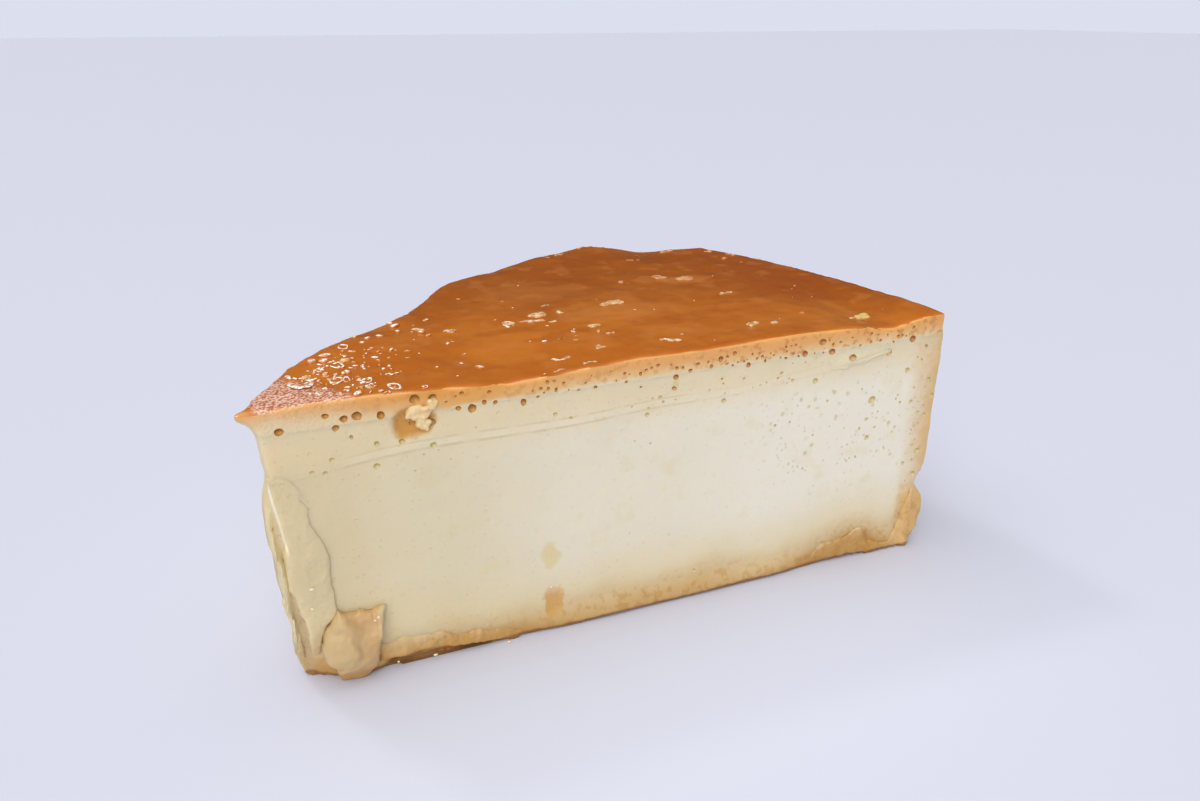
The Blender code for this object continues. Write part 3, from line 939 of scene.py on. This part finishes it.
chunkFacts = {
    "leftEdge": ((0, 4.9), (0.9, 4.4), (1.9, 4.2), (2.5, 4.6), (2.9, 3.9), (3.8, 3.3), (5.4, 3.0),
                 (6.4, 3.3), (7.8, 3.9), (9.5, 4.9)),
    "rightEdge": ((0, 7.6), (1.4, 8.9), (4.2, 9.3), (7.2, 10.0), (8.8, 10.3), (9.5, 10.4)),
    "topEdge": ((3, 9.0), (4.6, 9.2), (5.3, 9.6), (5.9, 8.8), (6.5, 8.75), (7.4, 8.9), (8.4, 8.4),
                (8.9, 8.35), (9.4, 8.6), (10.2, 8.7)),
    "crease": ((0, 4.4), (2.4, 5.0), (3.2, 6.2), (4.2, 6.9), (5.2, 6.5), (7, 6.2), (9.4, 5.8)),
    "lean": 8,   # x of the stretch of the cut that it leans on
    "height": 9.4, "depth": 2.1, "sunk": 0.05, "cuts": 40, "voxel": 0.18,
    "tints": tintsOf(
        # the foot tint is painted shade at the chunk's bottom
        light=(206, 171, 122), dark=(198, 159, 106), foot=(184, 134, 70), lobe=(200, 172, 122),
        ridge=(214, 190, 144),
    ),
}


def shapeChunk():
    chunk, (side, back, rise) = fineBlock(chunkFacts["cuts"])
    z = (rise + 1) / 2 * chunkFacts["height"]
    left = through(z, *chunkFacts["leftEdge"])
    right = through(z, *chunkFacts["rightEdge"])
    x = left + (right - left) * (side + 1) / 2
    x = x + 0.15 * raggedness(z + 4 * side, 0.8, 6)
    top = through(x, *chunkFacts["topEdge"]) + 0.16 * raggedness(x, 0.5, 4)
    z = (rise + 1) / 2 * top
    crease = through(z, *chunkFacts["crease"]) + 0.15 * raggedness(z, 0.9, 3)
    onLobe = ramp(x, crease + 0.7, crease - 0.3) * ramp(z, 1.9, 2.7)
    lobe = 0.18 + 0.16 * (x - 5)
    middle = -0.12 * (x - 6.5) - 0.25 * bell(x, 7.6, 1.1) * bell(z, 6.2, 2.2)
    middle = middle + 0.2 * bell(x, 7.4, 1.6) * bell(z, 2.8, 1.4)
    middle = middle - 0.5 * ramp(z, 2.4, 1.0) * ramp(x, 6.5, 5)
    ridge = 0.65 * bell(x, 9.5 + 0.08 * (z - 5), 0.5) * ramp(z, 4.0, 6.0)
    edges = (1 - np.abs(side) ** 7) ** 0.5 * (1 - 0.75 * np.abs(rise) ** 7) ** 0.5
    lean = (0.55 + 0.45 * bell(z, 4.4, 3.8)) * (0.55 + 0.45 * ramp(z, 0, 2.6))
    depth = chunkFacts["depth"] + onLobe * lobe + (1 - onLobe) * middle + ridge
    depth = depth * (0.35 + 0.65 * edges) * lean
    rest = frontRelief(np.full_like(z, chunkFacts["lean"]), z)
    y = rest + chunkFacts["sunk"] - depth * (1 - back) / 2
    writePoints(chunk, np.stack([x, y, z], axis=1))
    melt(chunk, chunkFacts["voxel"], (0.24, 1.7, 2.2), (0.09, 0.6, 4.4))
    chunk.name = chunk.data.name = "loose_chunk"
    return chunk


def chunkFinish():
    f = Finish("broken_custard")
    tints = chunkFacts["tints"]
    drift = f.clouds(2.4, 3)
    lobe = f.fall(f.x + 0.12 * f.z + 2.4 * (drift - 0.5), 5.8, 8.4)
    ridge = f.rise(f.x - 0.08 * f.z, 8.5, 9.2) * f.rise(f.z, 3.5, 6)
    colour = f.layered(
        tints["light"], tints,
        ("dark", drift),
        ("lobe", lobe * f.rise(f.z + drift, 2.2, 3.8)),
        ("ridge", 0.8 * ridge),
        # painted shade: the chunk darkens towards its rounded bottom
        ("foot", 0.8 * f.fall(f.z + 0.8 * drift, 0.6, 2.6)))
    height = 0.6 * f.clouds(0.6, 3) + 0.5 * f.clouds(1.7, 2)
    return f.wear(colour=colour, roughness=0.33, normal=f.bump(height, 0.08),
                  under=(0.25, 0.002, caramelSpread))


# Small things: torn crumb in the crater, flecks and bubbles on the glaze, syrup beads on the cut
# painted pale as glints

crumbFacts = {
    "lumps": (   # x, z, half width, half height, how many
        (15.8, 31.4, 1.15, 0.75, 60), (17.5, 32.2, 0.4, 0.6, 16), (16.3, 30.0, 0.7, 0.6, 26),
    ),
    "depth": (-0.1, 0.4), "seed": 9, "size": (0.4, 0.85), "voxel": 0.14,
    "dark": shown(216, 180, 122), "pale": shown(240, 218, 172),
}


def addCrumb():
    pick = random.Random(crumbFacts["seed"])
    spots = []
    for across, up, halfWidth, halfHeight, count in crumbFacts["lumps"]:
        for one in range(count):
            turn, reach = pick.uniform(0, 2 * math.pi), pick.random() ** 0.5
            x = across + halfWidth * reach * math.cos(turn)
            y = pick.uniform(*crumbFacts["depth"])
            z = up + halfHeight * reach * math.sin(turn)
            size = [pick.uniform(*crumbFacts["size"]) * mm for axis in range(3)]
            spots.append((place(x, y, z), size, pick.uniform(0, 3), 0))
    crumb = repeated(ball(), spots, "crater_crumb")
    melt(crumb, crumbFacts["voxel"], (0.10, 0.9, 6.1), (0.06, 0.3, 2.7))
    return crumb


def crumbFinish():
    f = Finish("torn_crumb")
    colour = f.blend(crumbFacts["dark"], crumbFacts["pale"], f.clouds(0.7, 3))
    return f.wear(colour=colour, roughness=0.4, normal=f.bump(f.clouds(0.3, 2), 0.04),
                  under=(0.3, 0.0005, custardSpread))


topMarks = {
    "seed": 23,
    "flecks": (   # pale lumps: x, y, length, width, turn in degrees
        (46.4, 20.6, 3.2, 1.9, 0), (35.7, 19.3, 1.8, 1.7, 10), (34.3, 17.6, 4.6, 0.9, -14),
        (31.1, 17.9, 1.1, 1.4, 0), (36.4, 16.4, 1.0, 0.8, 0), (38.8, 19.5, 0.9, 0.8, 0),
        (37.8, 23.2, 1.6, 0.5, 0), (32.8, 27.1, 0.9, 0.5, 0), (40.4, 12.4, 1.7, 1.2, 0),
        (41.6, 9.2, 1.0, 0.7, 0), (47.1, 4.4, 3.0, 0.9, -12), (49.3, 5.8, 1.0, 0.4, 0),
        (57.9, 30.4, 1.2, 1.9, 0), (61.2, 28.4, 2.2, 1.7, -20), (52.0, 30.4, 0.8, 0.7, 0),
        (63.0, 19.1, 2.0, 0.8, 0), (59.4, 5.9, 1.5, 1.2, 0), (62.1, 5.2, 0.8, 0.7, 0),
        (67.6, 8.0, 1.3, 0.6, 0), (75.7, 5.3, 2.0, 1.5, 10), (74.7, 4.7, 2.6, 0.8, 0),
        (24.4, 5.8, 1.1, 0.8, 0), (35.8, 1.5, 1.8, 0.7, -8), (31.7, 0.8, 1.7, 0.8, 0),
        (33.2, 4.0, 2.3, 0.9, 0), (23.5, 18.0, 1.6, 1.0, 0), (20.1, 19.7, 1.6, 0.9, 0),
        (10.1, 11.1, 1.0, 1.1, 0), (11.4, 2.4, 1.0, 0.7, 0), (16.8, 12.4, 2.7, 0.6, -20),
        (16.6, 10.2, 2.2, 0.4, -20), (5.4, 7.5, 0.9, 0.9, 0), (40.2, 46.6, 1.6, 0.6, 20),
        (58.0, 40.5, 2.6, 0.6, -10), (72.4, 36.6, 0.9, 0.9, 0), (74.0, 33.6, 1.0, 0.6, 0),
        (54.0, 50.6, 2.8, 0.8, 5), (57.2, 49.6, 1.6, 0.7, -10), (65.6, 44.0, 3.2, 0.9, 0),
        (69.5, 44.6, 1.8, 0.8, 0), (72.2, 41.4, 1.2, 0.8, 0), (74.6, 38.4, 1.8, 0.7, -50),
        (49.0, 48.6, 2.6, 0.7, 25), (46.4, 47.0, 1.4, 0.6, 30), (77.0, 34.2, 1.4, 0.6, -60),
        (36.4, 10.0, 3.4, 0.5, -6), (37.0, 8.7, 1.4, 0.5, 0), (38.5, 5.2, 1.2, 0.9, 0),
    ),
    "rings": (   # burst bubbles' glossy rims: x, y, width
        (4.9, 6.2, 2.3), (8.4, 5.7, 1.1), (9.1, 9.9, 1.3), (10.4, 15.2, 1.1), (11.5, 4.4, 1.1),
        (9.5, 5.4, 0.8), (13.9, 1.8, 1.1), (17.0, 1.0, 0.7), (31.1, 17.9, 1.3), (7.0, 9.0, 0.7),
    ),
    "beads": (   # round beads: x, y, width
        (9.8, 7.6, 0.8), (8.2, 13.0, 0.8), (6.5, 11.6, 0.9), (7.8, 11.2, 0.8), (3.8, 7.9, 0.6),
        (7.6, 7.5, 0.5), (17.2, 22.6, 0.5), (17.5, 21.4, 0.8), (17.5, 19.3, 0.5),
        (20.2, 18.6, 0.8), (20.8, 17.2, 0.5), (19.4, 19.8, 0.3), (19.1, 18.8, 0.3),
        (21.8, 23.5, 0.4), (13.6, 17.4, 0.6), (12.8, 16.1, 0.4), (15.1, 18.0, 0.4),
        (12.2, 18.4, 0.4), (22.5, 13.8, 0.4), (24.0, 5.8, 0.5), (30.1, 20.2, 0.3),
        (27.9, 30.6, 0.3), (21.8, 23.3, 0.4), (20.7, 17.1, 0.4), (31.7, 10.9, 0.4),
        (33.4, 10.1, 0.4), (37.5, 11.5, 0.4), (40.4, 10.3, 0.5), (23.6, 10.3, 0.3),
        (12.4, 0.9, 0.5), (10.1, 0.9, 0.7), (16.8, 0.9, 0.4), (30.1, 0.6, 0.4), (15.6, 12.8, 0.5),
        (22.4, 13.8, 0.5),
    ),
    "scattered": (   # how many, x from, x to, y from, y to, width from, width to
        (60, 3.5, 11, 1.5, 13, 0.2, 0.5), (90, 5, 15, 0.4, 14, 0.2, 0.5),
        (26, 9, 24, 3, 22, 0.12, 0.3), (14, 24, 60, 1, 40, 0.12, 0.28),
        (8, 60, 82, 1, 35, 0.12, 0.3),
    ),
    # shares of a fleck's length and width, of a lump's size or of a bubble's width
    "fleckSpread": (0.42, 0.38), "lumpSize": (0.55, 0.95), "lumpLength": (1.0, 1.7),
    "lumpHeight": 0.55, "beadSwell": 1.25, "beadLength": (0.8, 2.0), "beadHeight": 0.7,
    "ringLength": (1.0, 1.3), "ringWidth": 1.7,
    "fewestLumps": 3, "lumpsByArea": 2.2, "widestLump": 1.2, "fleckVoxel": 0.17,
    "ringHeight": 0.8, "ringTilt": 0.08,
    "bubbleUneven": ((0.24, 0.8, 3.0), (0.24, 0.8, 9.0), (0.10, 0.7, 6.0)),   # along x, y, z
    "tints": tintsOf(
        # the crown tint is a painted highlight on the flecks' tops
        fleck=(198, 134, 74), paleFleck=(220, 182, 134), crown=(246, 224, 200),
        rear=(196, 124, 70), yellow=(228, 194, 116), dome=(214, 150, 96), glint=(255, 244, 234),
    ),
    "yellowLump": (75.7, 5.2, 1.4, 1.2),   # x, y, half length, half width
}


def topSpot(caramel, x, y):
    return touch(caramel, place(x, y, 60), Vector((0, 0, -1)))


def addFlecks(caramel):
    # each fleck is a few flattened lumps, sunk half way and melted together
    pick = random.Random(topMarks["seed"])
    spreadAlong, spreadAside = topMarks["fleckSpread"]
    spots = []
    for x, y, length, width, degrees in topMarks["flecks"]:
        turn = math.radians(degrees)
        count = topMarks["fewestLumps"] + int(topMarks["lumpsByArea"] * length * width)
        for one in range(count):
            along = pick.uniform(-spreadAlong, spreadAlong) * length
            aside = pick.uniform(-spreadAside, spreadAside) * width
            spot = topSpot(caramel, x + along * math.cos(turn) - aside * math.sin(turn),
                           y + along * math.sin(turn) + aside * math.cos(turn))
            if spot is None:
                continue
            size = pick.uniform(*topMarks["lumpSize"]) * min(width, topMarks["widestLump"]) * mm
            longer = pick.uniform(*topMarks["lumpLength"])
            spots.append((spot, (size * longer, size, size * topMarks["lumpHeight"]), turn, 0))
    flecks = repeated(ball(), spots, "top_flecks")
    melt(flecks, topMarks["fleckVoxel"], (0.07, 0.7, 5.0))
    return flecks


def addBeads(caramel, pick):
    spots = []
    for x, y, width in topMarks["beads"]:
        spots.append((topSpot(caramel, x, y), topMarks["beadSwell"] * width))
    for count, left, right, near, far, small, large in topMarks["scattered"]:
        for one in range(count):
            x, y = pick.uniform(left, right), pick.uniform(near, far)
            if y < 1.05 * x + 3.0:   # keeps to the wedge
                spots.append((topSpot(caramel, x, y), pick.uniform(small, large)))
    beads = []
    for spot, width in spots:
        if spot is None:
            continue
        length = width * pick.uniform(*topMarks["beadLength"])
        size = (length * mm, width * mm, width * topMarks["beadHeight"] * mm)
        beads.append((spot, size, pick.uniform(-1.2, 1.2), 0))
    return repeated(ball(), beads, "top_beads")


def addRings(caramel, pick):
    rings = []
    for x, y, width in topMarks["rings"]:
        length = width * pick.uniform(*topMarks["ringLength"])
        size = (length * mm, topMarks["ringWidth"] * width * mm, topMarks["ringHeight"] * mm)
        turn = pick.uniform(-0.4, 0.4)
        tilt = pick.uniform(-topMarks["ringTilt"], topMarks["ringTilt"])
        rings.append((topSpot(caramel, x, y), size, turn, tilt))
    bpy.ops.mesh.primitive_torus_add(major_radius=0.42, minor_radius=0.10, major_segments=24,
                                     minor_segments=8)
    return repeated(bpy.context.object, rings, "top_rings")


def addBubbles(caramel):
    pick = random.Random(topMarks["seed"] + 1)
    bubbles = joinPieces([addBeads(caramel, pick), addRings(caramel, pick)], "top_bubbles")
    points = readPoints(bubbles)
    for axis, (height, spacing, seed) in enumerate(topMarks["bubbleUneven"]):
        points[:, axis] += height * lumps(points, spacing, seed)
    writePoints(bubbles, points)
    return bubbles


def fleckFinish():
    f = Finish("pale_fleck")
    tints = topMarks["tints"]
    colour = f.layered(
        tints["fleck"], tints,
        ("paleFleck", f.rise(f.clouds(0.7, 3), 0.38, 0.6)),
        # painted highlight on the flecks' upward-facing tops
        ("crown", f.rise(f.up, 0.9, 0.98) * f.rise(f.clouds(0.5), 0.5, 0.6)))
    colour = f.layered(
        f.blend(glaze["light"], colour, f.rise(f.up, 0.0, 0.5)), tints,
        ("rear", 0.6 * f.rise(f.y, 22, 27)),
        ("yellow", 0.85 * f.patch(*topMarks["yellowLump"], f.x, f.y)))
    return f.wear(colour=colour, roughness=0.22, normal=f.bump(f.clouds(0.35, 2), 0.04),
                  under=(0.4, 0.001, caramelSpread))


def bubbleFinish():
    # glaze-coloured domes, paler where they face up, each with a painted white highlight on its top
    f = Finish("glossy_bubble")
    wet = f.rise(f.up + 0.5 * (f.clouds(0.5, 2) - 0.5), 0.74, 0.88)
    colour = f.layered(
        glaze["light"], topMarks["tints"],
        ("dome", f.rise(f.up, 0.2, 0.8)),
        ("glint", wet * f.rise(f.clouds(0.5), 0.42, 0.52)))
    return f.wear(colour=colour, roughness=0.06, gloss=0.8)


syrup = {
    "beads": (   # x, y, z, length, depth, height
        (15.4, -0.75, 0.85, 0.55, 0.3, 0.2), (11.1, -0.65, 1.05, 0.3, 0.25, 0.2),
        (24.3, -0.85, 0.2, 0.4, 0.3, 0.2), (30.1, 0.1, 6.0, 0.4, 0.3, 0.3),
        (2.8, -1.1, 13.4, 0.5, 0.25, 0.2), (2.6, -1.0, 10.9, 0.4, 0.25, 0.15),
        (9.3, -1.9, 8.6, 0.3, 0.3, 0.25), (8.9, -1.8, 8.2, 0.25, 0.25, 0.2),
    ),
    # painted highlight: the drops are coloured near white so that they show as glints
    "deep": shown(240, 218, 170), "pale": shown(250, 240, 218),
}


def addSyrup():
    spots = [(place(x, y, z), (length * mm, depth * mm, height * mm), 0, 0)
             for x, y, z, length, depth, height in syrup["beads"]]
    return repeated(ball(subdivisions=3), spots, "syrup_beads")


def syrupFinish():
    f = Finish("thin_syrup")
    colour = f.blend(syrup["deep"], syrup["pale"], f.clouds(0.3))
    return f.wear(colour=colour, roughness=0.05, gloss=0.7)


addCamera()
addStudio()
print("camera and studio are set")

wholeSlice = shapeWhole()
print("the slice is shaped:", len(wholeSlice.data.polygons), "faces")
scoopPits(wholeSlice, pitFinish())
print("bubbles are scooped out:", len(wholeSlice.data.polygons), "faces")
custardBody, caramelTop = partAtSeam(wholeSlice)
print("parted:", len(custardBody.data.polygons), "and", len(caramelTop.data.polygons), "faces")

flecks = addFlecks(caramelTop)
bubbles = addBubbles(caramelTop)
print("the glaze has its marks:", len(flecks.data.polygons), "and", len(bubbles.data.polygons))

custardBody.data.materials[0] = custardFinish("baked_custard")
caramelTop.data.materials[0] = caramelFinish()
finishPiece(custardBody, None, nodes=("custard",))
finishPiece(caramelTop, None, nodes=("caramel_layer",))
finishPiece(shapeChunk(), chunkFinish(), nodes=("broken_chunk",))
tornFinish = custardFinish("torn_custard")
for name in tornSkin:
    finishPiece(addTorn(name), tornFinish)
finishPiece(addCrumb(), crumbFinish())
finishPiece(flecks, fleckFinish())
finishPiece(bubbles, bubbleFinish(), angle=80)
finishPiece(addSyrup(), syrupFinish(), angle=80)
print("every piece has its finish")
